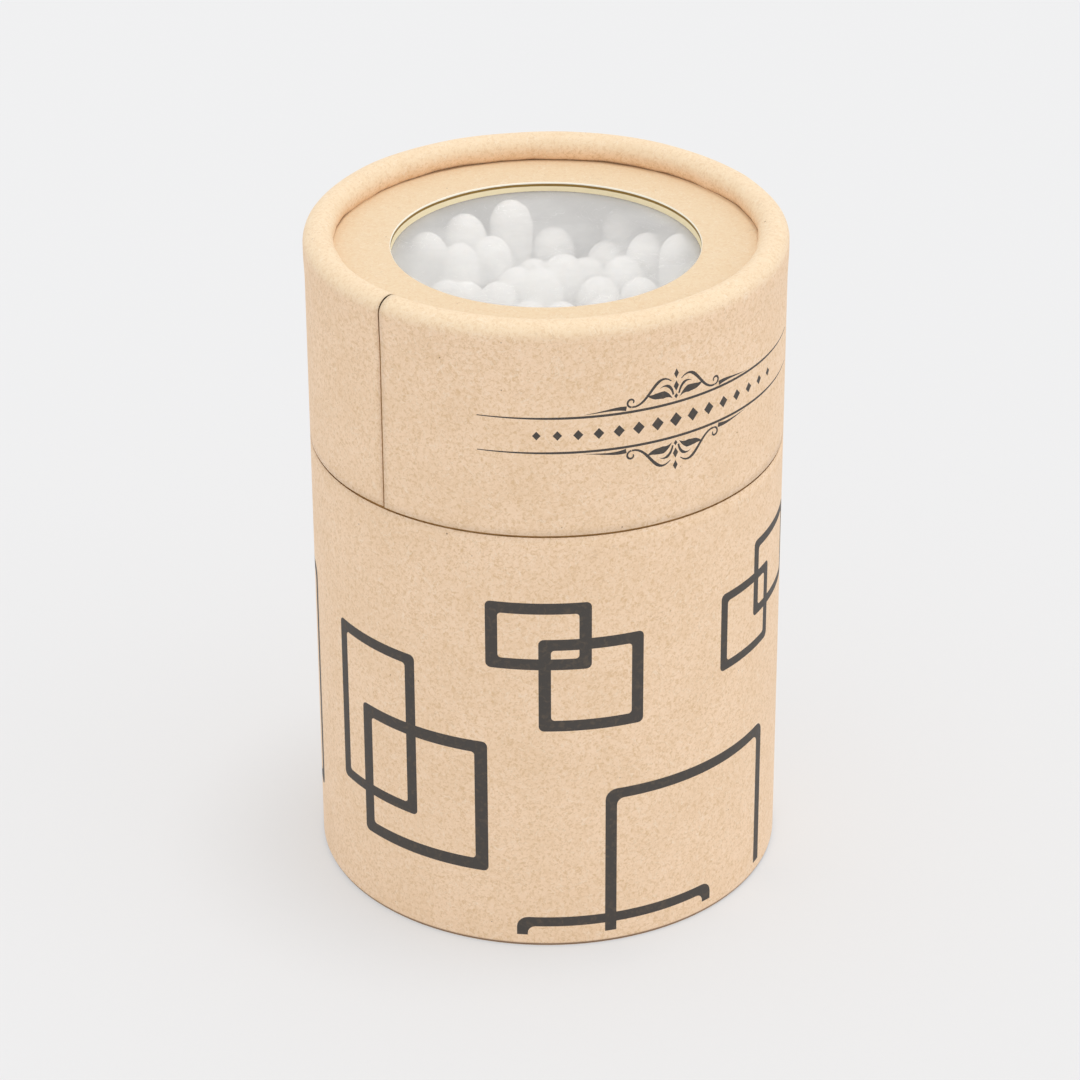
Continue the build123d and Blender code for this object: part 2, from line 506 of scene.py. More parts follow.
def window_edge_material(paper):
    """Cut edge of the lid's board, from its upper face down: pale lip with a painted highlight, brown
    middle of board core in painted shade, cream foot that is a painted reflection of the wall in the film.
    """
    material, tree, shader, where = new_material("window_cut_edge")
    place = tree.add("ShaderNodeSeparateXYZ", Vector=where).outputs
    slope = paper.face_rise / (2 * LID_DISC_HIGH.x)
    rise = tree.times(tree.minus(LID_DISC_HIGH.x, place["Y"]), slope)
    face = tree.plus(tree.plus(rise, tree.wander(where, 300.0, 0.10 * MM)), LID_DISC_HIGH.z)
    depth = tree.minus(face, place["Z"])
    # Painted highlight on the lip, the core in painted shade below it, then a painted reflection in the
    # film at the foot.
    colour = tree.blend(tree.band(depth, 0.18 * MM, 0.27 * MM), CUT_LIP_HIGHLIGHT, CUT_CORE_SHADE)
    colour = tree.blend(tree.band(depth, 0.52 * MM, 0.62 * MM), colour, CUT_FOOT_REFLECTION)
    dress(tree, shader, colour, 0.8, 0.25)


def film_material():
    """Clear film with a faint haze, fine scratches and more gloss at grazing angles."""
    material, tree, shader, where = new_material("window_film")
    patches = tree.band(tree.noise(where, 120.0, 3.0), 0.42, 0.66)
    scratches = tree.times(tree.thin_lines(where, 170.0, 3.5, 0.010), patches)
    haze = tree.band(tree.noise(where, 75.0, 4.0), 0.3, 0.7, 0.20, 0.29)
    facing = tree.add("ShaderNodeLayerWeight", Blend=0.5).outputs["Facing"]
    gloss = tree.times(tree.reckon("POWER", facing, 3.0), 0.5)
    cover = tree.plus(tree.plus(haze, gloss), tree.times(scratches, 0.08))
    shader.inputs["Base Color"].default_value = FILM_HAZE
    shader.inputs["Roughness"].default_value = 0.22
    clear = tree.add("ShaderNodeBsdfTransparent", Color=FILM_CLEAR)
    mixed = tree.add("ShaderNodeMixShader")
    for socket, value in zip(mixed.inputs, (cover, clear.outputs[0], shader.outputs[0])):
        tree.feed(socket, value)
    surface = material.node_tree.nodes["Material Output"].inputs["Surface"]
    tree.feed(surface, mixed.outputs[0])
    return material


def cotton_material(swabs):
    """Wound cotton: soft white fibres."""
    material, tree, shader, where = new_material("wound_cotton")
    stretched = tree.vector("MULTIPLY", where, (1.0, 1.0, 0.45)).outputs[0]
    fibres = tree.noise(stretched, 1500.0, 5.0, 1.2)
    warm = tree.blend(0.25, opaque(swabs.cotton), COTTON_SHADE)
    colour = tree.blend(tree.band(fibres, 0.35, 0.75, 0.0, 0.5), opaque(swabs.cotton), warm)
    dress(tree, shader, colour, tree.band(fibres, 0.3, 0.7, 0.86, 0.98), 0.15)
    shader.inputs["Sheen Weight"].default_value = 0.25
    shader.inputs["Sheen Roughness"].default_value = 0.6
    shader.inputs["Subsurface Weight"].default_value = 0.35
    shader.inputs["Subsurface Radius"].default_value = (1.1 * MM, 1.0 * MM, 0.9 * MM)
    shader.inputs["Subsurface Scale"].default_value = 1.0
    emboss(tree, shader, fibres, 0.55, 0.10 * MM)
    return material


def stick_material(swabs):
    """Plain bamboo with grain along the stick."""
    material, tree, shader, where = new_material("bamboo_stick")
    along = tree.vector("MULTIPLY", where, (1.0, 1.0, 0.06)).outputs[0]
    grain = tree.noise(along, 2400.0, 4.0)
    dark = tree.blend(0.5, opaque(swabs.stick), STICK_GRAIN)
    colour = tree.blend(tree.band(grain, 0.35, 0.7), opaque(swabs.stick), dark)
    dress(tree, shader, colour, tree.band(grain, 0.3, 0.7, 0.55, 0.7), 0.5)
    emboss(tree, shader, grain, 0.3, 0.04 * MM)
    return material


def floor_material(stage):
    """Pale light table: part of its brightness is its own, so the shadow on it stays faint."""
    material, tree, shader, where = new_material("pale_floor")
    shade = tree.blend(0.02, opaque(stage.floor), FLOOR_SHADE)
    colour = tree.blend(tree.band(tree.noise(where, 2.0), 0.3, 0.7), opaque(stage.floor), shade)
    dress(tree, shader, colour, 0.9, 0.0)
    shader.inputs["Emission Color"].default_value = WHITE
    shader.inputs["Emission Strength"].default_value = stage.glow
    return material


def finish_node(node, material):
    """Give a CAD node its material."""
    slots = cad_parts[node].data.materials
    slots.clear()
    slots.append(material)


# ---------------------------------------------------------------- meshes
def new_piece(name, mesh, materials=()):
    """An object for a finished mesh, at the origin, with its materials."""
    piece = bpy.data.objects.new(name, mesh)
    bpy.context.scene.collection.objects.link(piece)
    for material in materials:
        mesh.materials.append(material)
    return piece


def applied(holder, name):
    """A plain object of what holder's modifiers make; holder is removed."""
    graph = bpy.context.evaluated_depsgraph_get()
    mesh = bpy.data.meshes.new_from_object(holder.evaluated_get(graph))
    bpy.data.objects.remove(holder)
    mesh.name = name
    return new_piece(name, mesh)


def lathe(name, profile, segments, ends_closed=False):
    """Mesh of a section (radius, height) turned about the axis.

    The section is a loop, or with ends_closed a line whose first and last points are on the axis.
    """
    turns = np.arange(segments) * 2 * math.pi / segments
    rows = profile[1:-1] if ends_closed else profile
    points = []
    for radius, height in rows:
        points += [(radius * np.cos(turn), radius * np.sin(turn), height) for turn in turns]
    faces = []
    row_count = len(rows)
    for row in range(row_count - 1 if ends_closed else row_count):
        low = row * segments
        high = (row + 1) % row_count * segments
        for spot in range(segments):
            after = (spot + 1) % segments
            faces.append((low + spot, low + after, high + after, high + spot))
    if ends_closed:
        first, last = len(points), len(points) + 1
        points += [(0.0, 0.0, profile[0][1]), (0.0, 0.0, profile[-1][1])]
        top_row = (row_count - 1) * segments
        for spot in range(segments):
            after = (spot + 1) % segments
            faces.append((first, after, spot))
            faces.append((last, top_row + spot, top_row + after))
    mesh = bpy.data.meshes.new(name)
    mesh.from_pydata(points, [], faces)
    mesh.shade_smooth()
    return mesh


def finish_turned(mesh):
    """Turn a closed mesh's faces outwards, and keep its edges sharp."""
    work = bmesh.new()
    work.from_mesh(mesh)
    bmesh.ops.recalc_face_normals(work, faces=work.faces)
    work.to_mesh(mesh)
    work.free()
    mesh.shade_smooth()
    mesh.set_sharp_from_angle(angle=math.radians(SHARP_DEGREES))


# ---------------------------------------------------------------- print outlines, in millimetres
def arc(middle, radius, turn_from, turn_to, count=6):
    """Points on an arc; turns are in degrees."""
    return curl(middle, radius, radius, turn_from, turn_to, count)


def curl(middle, radius_from, radius_to, turn_from, turn_to, count=18):
    """Points on a spiral; turns are in degrees."""
    turns = np.radians(np.linspace(turn_from, turn_to, count))
    radii = np.linspace(radius_from, radius_to, count)
    x, y = middle
    return [(x + r * math.cos(turn), y + r * math.sin(turn)) for r, turn in zip(radii, turns)]


def rounded_outline(left, right, bottom, top, corner, cut_foot):
    """Closed outline of a rectangle with rounded corners, or with a square foot."""
    points = arc((right - corner, top - corner), corner, 0, 90)
    points += arc((left + corner, top - corner), corner, 90, 180)
    if cut_foot:
        points += [(left, bottom), (right, bottom)]
    else:
        points += arc((left + corner, bottom + corner), corner, 180, 270)
        points += arc((right - corner, bottom + corner), corner, 270, 360)
    return points


def frame_shape(left, right, bottom, top, line):
    """Outer and inner outline of one printed frame."""
    cut_foot = bottom == PRINT_CUT_MM
    corner = WIDE_CORNER_MM if right - left > WIDE_FRAME_MM else CORNER_MM
    inner_bottom = bottom if cut_foot else bottom + line
    inside = (left + line, right - line, inner_bottom, top - line, 0.65 * corner)
    return [
        rounded_outline(left, right, bottom, top, corner, cut_foot),
        rounded_outline(*inside, cut_foot),
    ]


def stroke(points, widths):
    """Closed outline of a line of changing width; an end of no width comes to a point."""
    middle = np.array(points, float)
    along = np.gradient(middle, axis=0)
    along /= np.linalg.norm(along, axis=1)[:, None]
    across = np.stack([-along[:, 1], along[:, 0]], axis=1)
    shares = np.linspace(0, 1, len(middle))
    half = np.interp(shares, np.linspace(0, 1, len(widths)), widths)[:, None] / 2
    near = [tuple(point) for point in middle + across * half]
    far = [tuple(point) for point in (middle - across * half)[::-1]]
    if widths[0] == 0:
        far = far[:-1]
    if widths[-1] == 0:
        far = far[1:]
    return near + far


def bend(start, pull_out, pull_in, end, count=16):
    """Points on a Bezier curve."""
    share = np.linspace(0, 1, count)[:, None]
    rest = 1 - share
    knots = [np.array(knot, float) for knot in (start, pull_out, pull_in, end)]
    weights = (rest ** 3, 3 * share * rest ** 2, 3 * share ** 2 * rest, share ** 3)
    return [tuple(point) for point in sum(weight * knot for weight, knot in zip(weights, knots))]


def lozenge(middle, half_width, half_height):
    """Closed outline of a diamond."""
    x, y = middle
    return [(x + half_width, y), (x, y + half_height), (x - half_width, y), (x, y - half_height)]


def scroll_shapes():
    """A plain scroll that stands on a rule: right half, mirrored to the left, and its middle."""
    right_half = [
        stroke(bend((0.7, 3.0), (2.9, 5.0), (3.6, 0.3), (5.9, 0.60)), (0.12, 0.42, 0.34, 0.24)),
        stroke(curl((5.95, 1.25), 0.65, 0.22, -90, 210), (0.24, 0.28, 0.16)),
        stroke(bend((6.6, 0.52), (8.0, 0.85), (9.8, 0.42), (12.0, 0.30)), (0.62, 0.26, 0.0)),
        stroke(bend((0.5, 0.65), (1.8, 2.1), (2.8, 0.8), (4.1, 1.9)), (0.0, 1.0, 0.75, 0.0)),
        stroke(bend((0.4, 1.1), (0.6, 2.3), (1.4, 2.9), (2.3, 2.3)), (0.24, 0.40, 0.0)),
    ]
    mirrored = [[(-x, y) for x, y in outline] for outline in right_half]
    middle = [
        lozenge((0.0, 3.85), 0.34, 0.65),
        lozenge((0.0, 0.85), 0.28, 0.36),
        lozenge((0.0, 2.2), 0.38, 0.7),
    ]
    return right_half + mirrored + middle


def lid_shapes():
    """The lid's print: each shape is a list of outlines."""
    shapes = []
    low, high = RULE_HEIGHTS_MM
    span = np.linspace(RULE_LEFT_MM, RULE_RIGHT_MM, 52)
    widths = [RULE_LINE_MM * share for share in RULE_TAPER]
    for height in RULE_HEIGHTS_MM:
        shapes.append([stroke([(x, height) for x in span], widths)])
    for outline in scroll_shapes():
        shapes.append([[(SCROLL_MIDDLE_MM + x, high + y) for x, y in outline]])
        shapes.append([[(SCROLL_MIDDLE_MM + x, low - y) for x, y in outline]])
    for index in range(LOZENGE_COUNT):
        step = index - (LOZENGE_COUNT - 1) / 2
        size = 1.0 - LOZENGE_SHRINK * abs(step)
        middle = (SCROLL_MIDDLE_MM + LOZENGE_STEP_MM * step, (low + high) / 2)
        shapes.append([lozenge(middle, 0.85 * size, 0.95 * size)])
    return shapes


# ---------------------------------------------------------------- printed sheets
def short_steps(outline, longest=1.0):
    """The outline with points added, so that it can bend round the tub."""
    points = []
    for start, end in zip(outline, outline[1:] + outline[:1]):
        across, up = end[0] - start[0], end[1] - start[1]
        count = max(1, math.ceil(abs(across) / longest), math.ceil(abs(up) / (3 * longest)))
        for step in range(count):
            points.append((start[0] + across * step / count, start[1] + up * step / count))
    return points


def near_outline(spots, outline, reach):
    """Which spots lie within reach of an outline's edges."""
    start = np.array(outline)
    end = np.roll(start, -1, axis=0)
    close = np.zeros(len(spots), bool)
    inside = np.all((spots > start.min(0) - reach) & (spots < start.max(0) + reach), axis=1)
    some = spots[inside]
    for a, b in zip(start, end):
        along = np.clip(((some - a) @ (b - a)) / max((b - a) @ (b - a), 1e-12), 0, 1)
        away = np.linalg.norm(some - a - along[:, None] * (b - a), axis=1)
        close[np.flatnonzero(inside)[away < reach]] = True
    return close


def within(spots, outline):
    """Which spots lie inside a closed outline, by counting crossings."""
    start = np.array(outline)
    end = np.roll(start, -1, axis=0)
    inside = np.zeros(len(spots), bool)
    boxed = np.flatnonzero(np.all((spots > start.min(0)) & (spots < start.max(0)), axis=1))
    x, y = spots[boxed, 0], spots[boxed, 1]
    odd = np.zeros(len(boxed), bool)
    for (ax, ay), (bx, by) in zip(start, end):
        crosses = (ay > y) != (by > y)
        if ay != by:
            odd ^= crosses & (x < ax + (y - ay) * (bx - ax) / (by - ay))
    inside[boxed] = odd
    return inside


def cut_sheet(columns, rows, shapes):
    """A flat sheet in triangles, cut along its print: points, triangles and which are inked."""
    points = []
    edges = []

    def add_loop(line):
        first = len(points)
        points.extend(line)
        edges.extend((first + step, first + step + 1) for step in range(len(line) - 1))
        edges.append((len(points) - 1, first))

    border = [(x, rows[0]) for x in columns] + [(columns[-1], y) for y in rows[1:]]
    border += [(x, rows[-1]) for x in columns[-2::-1]] + [(columns[0], y) for y in rows[-2:0:-1]]
    add_loop(border)
    cut_shapes = [[short_steps(outline) for outline in shape] for shape in shapes]
    inner_x, inner_y = np.meshgrid(columns[1:-1], rows[1:-1])
    lattice = np.stack([inner_x.ravel(), inner_y.ravel()], axis=1)
    taken = np.zeros(len(lattice), bool)
    for shape in cut_shapes:
        for outline in shape:
            add_loop(outline)
            taken |= near_outline(lattice, outline, 0.3)
    points.extend(map(tuple, lattice[~taken]))

    found, _, triangles, _, _, _ = delaunay_2d_cdt(points, edges, [], 0, 1e-5)
    flat = np.array([tuple(point) for point in found])
    triangles = np.array(triangles)
    a, b, c = (flat[triangles[:, corner]] for corner in range(3))
    doubled = (b[:, 0] - a[:, 0]) * (c[:, 1] - a[:, 1]) - (b[:, 1] - a[:, 1]) * (c[:, 0] - a[:, 0])
    triangles[doubled < 0] = triangles[doubled < 0][:, ::-1]
    triangles = triangles[np.abs(doubled) > 1e-9]
    centres = flat[triangles].mean(axis=1)
    inked = np.zeros(len(triangles), bool)
    for shape in cut_shapes:
        odd = np.zeros(len(triangles), bool)
        for outline in shape:
            odd ^= within(centres, outline)
        inked |= odd
    return flat, triangles, inked


def paper_piece(name, columns, rows, shapes, place, paper):
    """A printed sheet put in place by a function of across and up, given its paper's thickness."""
    flat, triangles, inked = cut_sheet(columns, rows, shapes)
    mesh = bpy.data.meshes.new(name)
    mesh.from_pydata(place(flat[:, 0] * MM, flat[:, 1] * MM).tolist(), [], triangles.tolist())
    mesh.polygons.foreach_set("material_index", np.where(inked, 0, 1))
    mesh.shade_smooth()
    inks = [bpy.data.materials[material] for material in ("print_ink", "kraft_paper")]
    holder = new_piece(name, mesh, inks)
    solid = holder.modifiers.new("paper", "SOLIDIFY")
    solid.thickness = paper.sheet_thickness
    solid.offset = -1.0
    solid.material_offset = 1
    solid.material_offset_rim = 1
    return applied(holder, name)


def wall_points(across, radius, height):
    """Points on a wall: distance round from the front, radius and height."""
    turn = across / OUTER_RADIUS
    return np.stack([radius * np.sin(turn), -radius * np.cos(turn), height], axis=1)


def ease(share):
    """A share from 0 to 1 with soft ends."""
    return share * share * (3 - 2 * share)


def ripple(across, waves):
    """A smooth uneven line round the tub: a sum of waves."""
    turn = across / OUTER_RADIUS
    return sum(size * np.sin(count * turn + phase) for count, size, phase in waves)


def base_place(paper):
    """The function that puts the base's wrap up the wall, its foot curled in a little."""

    def place(across, up):
        tuck = np.clip(1 - up / (2 * paper.foot_tuck), 0, 1)
        return wall_points(across, OUTER_RADIUS - paper.foot_tuck * tuck * tuck, up)

    return place


def bead_turn(paper):
    """How far round the bead the sheet goes, from the outside over the crest to the disc."""
    middle = LID_WRAP_HIGH.z - paper.bead
    return math.pi + math.asin((middle - LID_DISC_HIGH.z) / paper.bead)


def lid_place(paper):
    """The function that puts the lid's wrap up the wall and over the bead, down to the disc."""
    middle_radius = OUTER_RADIUS - paper.bead
    wall_height = LID_WRAP_HIGH.z - paper.bead - LID_WRAP_LOW.z
    dip_start = (paper.seam_turn + 2 * math.pi) * OUTER_RADIUS - SEAM_DIP_WIDTH

    def place(across, up):
        turn = np.clip((up - wall_height) / paper.bead, 0, None)
        wall = np.minimum(up, wall_height)
        outside = np.clip(np.cos(turn), 0, 1)
        crest = np.sin(np.clip(turn, 0, math.pi))
        tuck = np.clip(turn - math.pi / 2, 0, None)
        flare = np.clip((wall - wall_height + RIM_FLARE_START) / RIM_FLARE_WIDTH, 0, 1) * outside
        dip = np.clip((across - dip_start) / SEAM_DIP_WIDTH, 0, 1) * outside
        radius = middle_radius + paper.bead * np.cos(turn) + paper.rim_flare * ease(flare)
        radius = radius + crest * ripple(across, CREST_WAVES) + tuck * ripple(across, TUCK_WAVES)
        sag = crest * np.abs(ripple(across, SAG_WAVES))
        height = LID_WRAP_LOW.z + wall + paper.bead * np.sin(turn) - sag
        return wall_points(across, radius - paper.seam_step * ease(dip), height)

    return place


# ---------------------------------------------------------------- swab bundle
def swab_tree():
    """Geometry tree that stands a piece at every place of a bundle of rings."""
    group = bpy.data.node_groups.new("Swab bundle", "GeometryNodeTree")
    group.is_modifier = True
    sockets = {
        "Object": ("Piece",),
        "Material": ("Finish",),
        "Int": ("Rings", "Free Place", "Seed"),
        "Float": (
            "Pitch", "First Place", "Foot", "Lean", "Shortest", "Longest", "Shift", "Girth Spread", "Lump",
        ),
    }
    for kind, names in sockets.items():
        for name in names:
            group.interface.new_socket(name=name, in_out="INPUT", socket_type=f"NodeSocket{kind}")
    group.interface.new_socket(name="Geometry", in_out="OUTPUT", socket_type="NodeSocketGeometry")
    tree = Tree(group)
    given = tree.add("NodeGroupInput").outputs
    rings = given["Rings"]

    # A ring k has 6k places, and its first place is number 3k(k-1)+1 of the bundle.
    count = tree.plus(tree.times(tree.times(rings, tree.plus(rings, 1.0)), 3.0), 1.0)
    number = tree.add("GeometryNodeInputIndex").outputs[0]
    root = tree.reckon("SQRT", tree.plus(tree.times(number, 12.0), 9.0))
    unrounded = tree.reckon("DIVIDE", tree.minus(root, 3.0), 6.0)
    ring = tree.reckon("CEIL", tree.minus(unrounded, 0.001))
    before = tree.times(tree.times(ring, tree.minus(ring, 1.0)), 3.0)
    place = tree.minus(number, tree.plus(before, 1.0))
    ring_places = tree.reckon("MAXIMUM", tree.times(ring, 6.0), 1.0)
    share = tree.reckon("DIVIDE", place, ring_places)
    turn = tree.plus(tree.times(share, 2 * math.pi), given["First Place"])
    away = tree.times(ring, given["Pitch"])
    x = tree.times(away, tree.reckon("COSINE", turn))
    y = tree.times(away, tree.reckon("SINE", turn))
    spot = tree.add("ShaderNodeCombineXYZ", X=x, Y=y, Z=given["Foot"]).outputs[0]
    points = tree.add("GeometryNodePoints", Count=count, Position=spot).outputs[0]
    last_ring = tree.reckon("COMPARE", ring, rings, 0.1)
    free = tree.times(last_ring, tree.reckon("COMPARE", place, given["Free Place"], 0.1))
    standing = tree.add(
        "GeometryNodeDeleteGeometry", {"domain": "POINT"}, Geometry=points, Selection=free
    ).outputs[0]

    def chance(low, high, step):
        """A random number for each swab; step keeps the draws apart."""
        made = tree.add("FunctionNodeRandomValue", {"data_type": "FLOAT"})
        tree.feed(made.inputs[2], low)
        tree.feed(made.inputs[3], high)
        tree.feed(made.inputs["Seed"], tree.plus(given["Seed"], float(step)))
        return made.outputs[1]

    back = tree.times(given["Lean"], -1.0)
    lean_x = chance(back, given["Lean"], 1)
    lean_y = chance(back, given["Lean"], 2)
    longer = chance(given["Shortest"], given["Longest"], 3)
    girth = tree.plus(1.0, tree.times(given["Girth Spread"], chance(-0.5, 1.0, 4)))
    lean = tree.add("ShaderNodeCombineXYZ", X=lean_x, Y=lean_y).outputs[0]
    size = tree.add("ShaderNodeCombineXYZ", X=girth, Y=girth, Z=1.0).outputs[0]
    rise = tree.add("ShaderNodeCombineXYZ", Z=tree.times(longer, given["Shift"])).outputs[0]
    piece = tree.add("GeometryNodeObjectInfo", Object=given["Piece"]).outputs["Geometry"]
    put = tree.add(
        "GeometryNodeInstanceOnPoints", Points=standing, Instance=piece, Rotation=lean, Scale=size
    ).outputs[0]
    raised = tree.add("GeometryNodeTranslateInstances", Instances=put, Translation=rise).outputs[0]
    real = tree.add("GeometryNodeRealizeInstances", Geometry=raised).outputs[0]
    push = tree.vector("SCALE", tree.add("GeometryNodeInputNormal").outputs[0])
    position = tree.add("GeometryNodeInputPosition").outputs[0]
    tree.feed(push.inputs["Scale"], tree.wander(position, 380.0, given["Lump"]))
    lumpy = tree.add("GeometryNodeSetPosition", Geometry=real, Offset=push.outputs[0]).outputs[0]
    smooth = tree.add("GeometryNodeSetShadeSmooth", Geometry=lumpy).outputs[0]
    finished = tree.add("GeometryNodeSetMaterial", Geometry=smooth, Material=given["Finish"])
    tree.add("NodeGroupOutput", Geometry=finished.outputs[0])
    return group


def swab_bundle(group, name, template, swabs, finish, changes):
    """One plain mesh of a piece at every place of the bundle."""
    stand = new_piece("template", template)
    holder = new_piece(name, bpy.data.meshes.new("holder"))
    modifier = holder.modifiers.new("bundle", "NODES")
    modifier.node_group = group
    values = {
        "Piece": stand, "Finish": finish, "Rings": RING_COUNT, "Free Place": FREE_PLACE,
        "Seed": swabs.seed, "Pitch": RING_PITCH, "First Place": FIRST_PLACE_TURN,
        "Foot": SWAB_FOOT, "Lean": swabs.lean, "Shortest": swabs.shortest,
        "Longest": swabs.longest, "Shift": 0.0, "Girth Spread": 0.0, "Lump": 0.0,
    }
    values.update(changes)
    for socket in group.interface.items_tree:
        if socket.in_out == "INPUT":
            modifier[socket.identifier] = values[socket.name]
    piece = applied(holder, name)
    bpy.data.objects.remove(stand)
    return piece


def bud_profile():
    """Section of an upper bud from its thin end to its tip, above the swab's foot."""
    thin_end = SWAB_LENGTH - BUD_LENGTH
    belly = SWAB_LENGTH - BUD_TIP_LENGTH
    points = [(0.0, thin_end)]
    for turn in np.radians(np.linspace(0, 90, 11))[1:]:
        height = belly - (belly - thin_end) * math.cos(turn)
        points.append((BUD_RADIUS * math.sin(turn) ** 0.62, height))
    for turn in np.radians(np.linspace(0, 90, 8))[1:-1]:
        points.append((BUD_RADIUS * math.cos(turn), belly + BUD_TIP_LENGTH * math.sin(turn)))
    points.append((0.0, SWAB_LENGTH))
    return points


# ---------------------------------------------------------------- operators
class SWABTUB_OT_papers(bpy.types.Operator):
    """Mix the paper and ink that the wraps and the lid's face share"""

    bl_idname = "swab_tub.papers"
    bl_label = "Papers and ink"

    def execute(self, context):
        paper = context.scene.swab_tub_paper
        crest = LID_WRAP_HIGH.z
        # The rim's golden band is a painted highlight.
        kraft_material("kraft_paper", paper, paper.kraft_rim_highlight, crest - 2.4 * MM, crest - 0.6 * MM)
        # The face's golden copy of the paper is painted light, with painted crevice shade round it.
        kraft_material("kraft_face_painted_light", paper, paper.kraft_face_painted_light, 0.0, 1.0 * MM, crevice_shaded=True)
        ink_material(paper)
        window_edge_material(paper)
        return {"FINISHED"}


class SWABTUB_OT_base_wrap(bpy.types.Operator):
    """Wrap the base in printed kraft paper"""

    bl_idname = "swab_tub.base_wrap"
    bl_label = "Base wrap"

    def execute(self, context):
        paper = context.scene.swab_tub_paper
        half = GIRTH_MM / 2 - BASE_SEAM_GAP_MM / 2
        columns = np.linspace(-half, half, ROUND_STEPS + 1)
        foot = np.linspace(0, 2 * paper.foot_tuck / MM, 5)
        wall = np.linspace(1.2, (BASE_WRAP_HIGH.z - BASE_WRAP_LOW.z) / MM, 40)
        rows = BASE_WRAP_LOW.z / MM + np.append(foot, wall)
        shapes = [frame_shape(*sizes) for sizes in BASE_FRAMES_MM]
        piece = paper_piece("base_paper", columns, rows, shapes, base_place(paper), paper)
        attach(piece, "base")
        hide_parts("base_wrap")
        return {"FINISHED"}


class SWABTUB_OT_lid_wrap(bpy.types.Operator):
    """Wrap the lid in printed kraft paper, turned over the rolled rim"""

    bl_idname = "swab_tub.lid_wrap"
    bl_label = "Lid wrap"

    def execute(self, context):
        paper = context.scene.swab_tub_paper
        start = paper.seam_turn * OUTER_RADIUS / MM + LID_SEAM_GAP_MM / 2
        columns = np.linspace(start, start + GIRTH_MM - LID_SEAM_GAP_MM, ROUND_STEPS + 1)
        wall = (LID_WRAP_HIGH.z - paper.bead - LID_WRAP_LOW.z) / MM
        bead = paper.bead * bead_turn(paper) / MM
        rows = np.append(np.linspace(0, wall, 23), wall + np.linspace(0, bead, 25)[1:])
        lift = LID_WRAP_LOW.z / MM
        shapes = [
            [[(x, y - lift) for x, y in outline] for outline in shape] for shape in lid_shapes()
        ]
        piece = paper_piece("lid_paper", columns, rows, shapes, lid_place(paper), paper)
        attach(piece, "lid")
        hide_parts("lid_wrap")
        return {"FINISHED"}


class SWABTUB_OT_lid_face(bpy.types.Operator):
    """Make the lid's recessed face with its window hole, and finish the window film"""

    bl_idname = "swab_tub.lid_face"
    bl_label = "Lid face and window"

    def execute(self, context):
        paper = context.scene.swab_tub_paper
        window, edge = paper.window_radius, LID_DISC_HIGH.x
        low, high = LID_DISC_LOW.z, LID_DISC_HIGH.z
        lip = window + WINDOW_BEVEL
        face = [(radius, high) for radius in np.linspace(lip, edge, 14)]
        under = [(edge, low), ((edge + window) / 2, low), (window, low)]
        cut = [(window, height) for height in np.linspace(low, high - WINDOW_BEVEL, 6)[1:]]
        mesh = lathe("lid_face", face + under + cut, FACE_STEPS)
        materials = [bpy.data.materials[name] for name in ("kraft_face_painted_light", "window_cut_edge")]
        piece = new_piece("lid_face", mesh, materials)
        for polygon in mesh.polygons:
            cut_edge = math.hypot(polygon.center.x, polygon.center.y) < lip
            polygon.material_index = int(cut_edge and polygon.center.z > low + 0.01 * MM)
        for vertex in mesh.vertices:
            share = (vertex.co.z - low) / (high - low) * (edge - vertex.co.y) / (2 * edge)
            vertex.co.z += paper.face_rise * share
        finish_turned(mesh)
        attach(piece, "lid")
        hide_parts("lid_disc")
        finish_node("window_film", film_material())
        return {"FINISHED"}


class SWABTUB_OT_boards(bpy.types.Operator):
    """Finish the bare boards: base tube, base disc and neck, and make the lid's board"""

    bl_idname = "swab_tub.boards"
    bl_label = "Boards"

    def execute(self, context):
        paper = context.scene.swab_tub_paper
        bare = board_material("bare_board", BARE_BOARD)
        finish_node("base_tube", bare)
        finish_node("base_disc", bare)
        finish_node("neck_tube", board_material("liner_board", LINER_BOARD))
        inside, outside = LID_DISC_HIGH.x + LID_DISC_GLUE, LID_SLEEVE_HIGH.x
        foot, top = LID_SLEEVE_LOW.z, LID_WRAP_HIGH.z - paper.bead
        section = [(inside, foot), (outside, foot), (outside, top), (inside, top)]
        mesh = lathe("lid_board", section, ROUND_STEPS)
        finish_turned(mesh)
        piece = new_piece("lid_board", mesh, (bare,))
        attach(piece, "lid")
        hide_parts("lid_sleeve")
        return {"FINISHED"}


class SWABTUB_OT_swabs(bpy.types.Operator):
    """Stand the swabs in the tub: sticks and cotton buds"""

    bl_idname = "swab_tub.swabs"
    bl_label = "Swabs"

    def execute(self, context):
        swabs = context.scene.swab_tub_swabs
        group = swab_tree()
        cotton = cotton_material(swabs)
        profile = bud_profile()
        upper = lathe("upper_bud", profile, UPPER_BUD_STEPS, ends_closed=True)
        turned = [(radius, SWAB_LENGTH - height) for radius, height in profile[::-1]]
        lower = lathe("lower_bud", turned, LOWER_BUD_STEPS, ends_closed=True)
        low = STICK_LOW.z - SWAB_FOOT
        high = SWAB_LENGTH - low + swabs.shortest
        rod = [(0.0, low), (STICK_RADIUS, low), (STICK_RADIUS, high), (0.0, high)]
        sticks = lathe("stick", rod, STICK_STEPS, ends_closed=True)
        upper_changes = {"Shift": 1.0, "Lump": swabs.lump, "Girth Spread": 0.07}
        for name, template, finish, slot, changes in (
            ("cotton_buds_upper", upper, cotton, "cotton", upper_changes),
            ("cotton_buds_lower", lower, cotton, "cotton", {"Lump": swabs.lump}),
            ("swab_sticks", sticks, stick_material(swabs), "swab_stick", {}),
        ):
            piece = swab_bundle(group, name, template, swabs, finish, changes)
            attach(piece, "base")
            nodes = [f"{name}_ring_{ring}" for ring in range(RING_COUNT + 1)]
            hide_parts(*nodes)
        return {"FINISHED"}


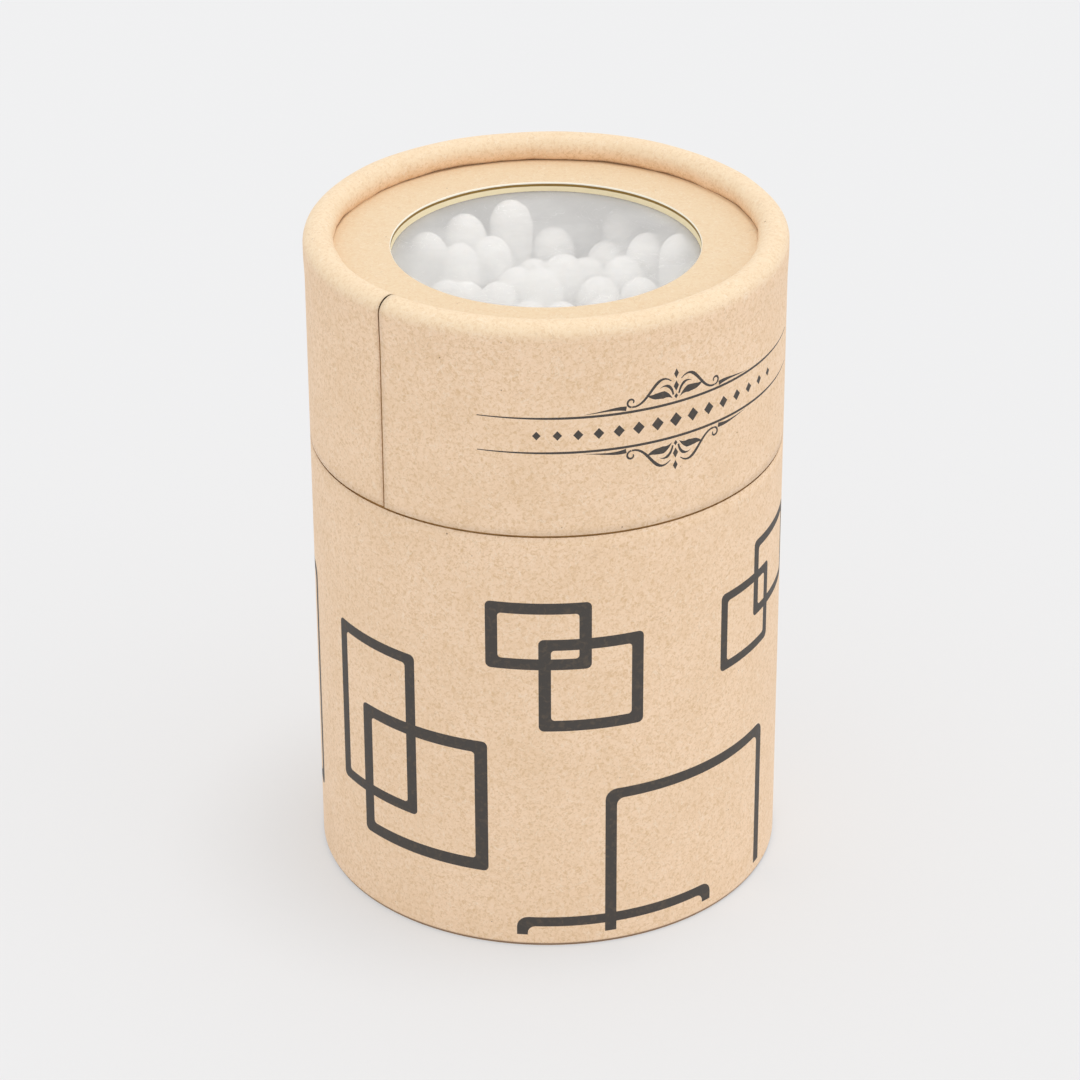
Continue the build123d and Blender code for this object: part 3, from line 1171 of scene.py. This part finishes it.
class SWABTUB_OT_stage(bpy.types.Operator):
    """Set the floor, the light and the camera"""

    bl_idname = "swab_tub.stage"
    bl_label = "Stage"

    def execute(self, context):
        scene = context.scene
        stage = scene.swab_tub_stage
        size = FLOOR_HALF
        corners = [(-size, -size, 0), (size, -size, 0), (size, size, 0), (-size, size, 0)]
        mesh = bpy.data.meshes.new("floor")
        mesh.from_pydata(corners, [], [(0, 1, 2, 3)])
        new_piece("floor", mesh, (floor_material(stage),))

        world = bpy.data.worlds.new("even_light")
        world.use_nodes = True
        background = world.node_tree.nodes["Background"]
        background.inputs["Color"].default_value = WHITE
        background.inputs["Strength"].default_value = stage.sky
        scene.world = world
        for name, strength, spread, turns in (
            ("key_light", stage.key, 14, (-2, 8, 0)),
            ("side_light", stage.side, 50, (15, 68, 0)),
        ):
            light = bpy.data.lights.new(name, "SUN")
            light.energy = strength
            light.angle = math.radians(spread)
            lamp = bpy.data.objects.new(name, light)
            lamp.rotation_euler = [math.radians(turn) for turn in turns]
            scene.collection.objects.link(lamp)

        camera = bpy.data.cameras.new("camera")
        camera.lens = stage.camera_lens
        camera.clip_start = 0.01
        viewer = bpy.data.objects.new("camera", camera)
        spot = Matrix.Translation((stage.camera_side, -stage.camera_back, stage.camera_height))
        tilt = Matrix.Rotation(math.pi / 2 - stage.camera_tilt, 4, "X")
        viewer.matrix_world = spot @ tilt @ Matrix.Rotation(stage.camera_roll, 4, "Z")
        scene.collection.objects.link(viewer)
        scene.camera = viewer
        scene.view_settings.view_transform = "Standard"
        return {"FINISHED"}


class SWABTUB_PT_panel(bpy.types.Panel):
    """Steps that build the tub"""

    bl_idname = "SWABTUB_PT_panel"
    bl_label = "Swab tub"
    bl_space_type = "VIEW_3D"
    bl_region_type = "UI"
    bl_category = "Swab tub"

    def draw(self, context):
        for operator in OPERATORS:
            self.layout.operator(operator.bl_idname)


OPERATORS = (
    SWABTUB_OT_papers,
    SWABTUB_OT_base_wrap,
    SWABTUB_OT_lid_wrap,
    SWABTUB_OT_lid_face,
    SWABTUB_OT_boards,
    SWABTUB_OT_swabs,
    SWABTUB_OT_stage,
)
SETTINGS = {
    "swab_tub_paper": TubPaperSettings,
    "swab_tub_swabs": TubSwabSettings,
    "swab_tub_stage": TubStageSettings,
}


def register():
    for name, settings in SETTINGS.items():
        bpy.utils.register_class(settings)
        setattr(bpy.types.Scene, name, PointerProperty(type=settings))
    for operator in OPERATORS:
        bpy.utils.register_class(operator)
    bpy.utils.register_class(SWABTUB_PT_panel)


def unregister():
    bpy.utils.unregister_class(SWABTUB_PT_panel)
    for operator in reversed(OPERATORS):
        bpy.utils.unregister_class(operator)
    for name, settings in SETTINGS.items():
        delattr(bpy.types.Scene, name)
        bpy.utils.unregister_class(settings)


def main():
    register()
    bpy.ops.swab_tub.papers()
    bpy.ops.swab_tub.base_wrap()
    bpy.ops.swab_tub.lid_wrap()
    bpy.ops.swab_tub.lid_face()
    bpy.ops.swab_tub.boards()
    bpy.ops.swab_tub.swabs()
    bpy.ops.swab_tub.stage()


if __name__ == "__main__":
    main()
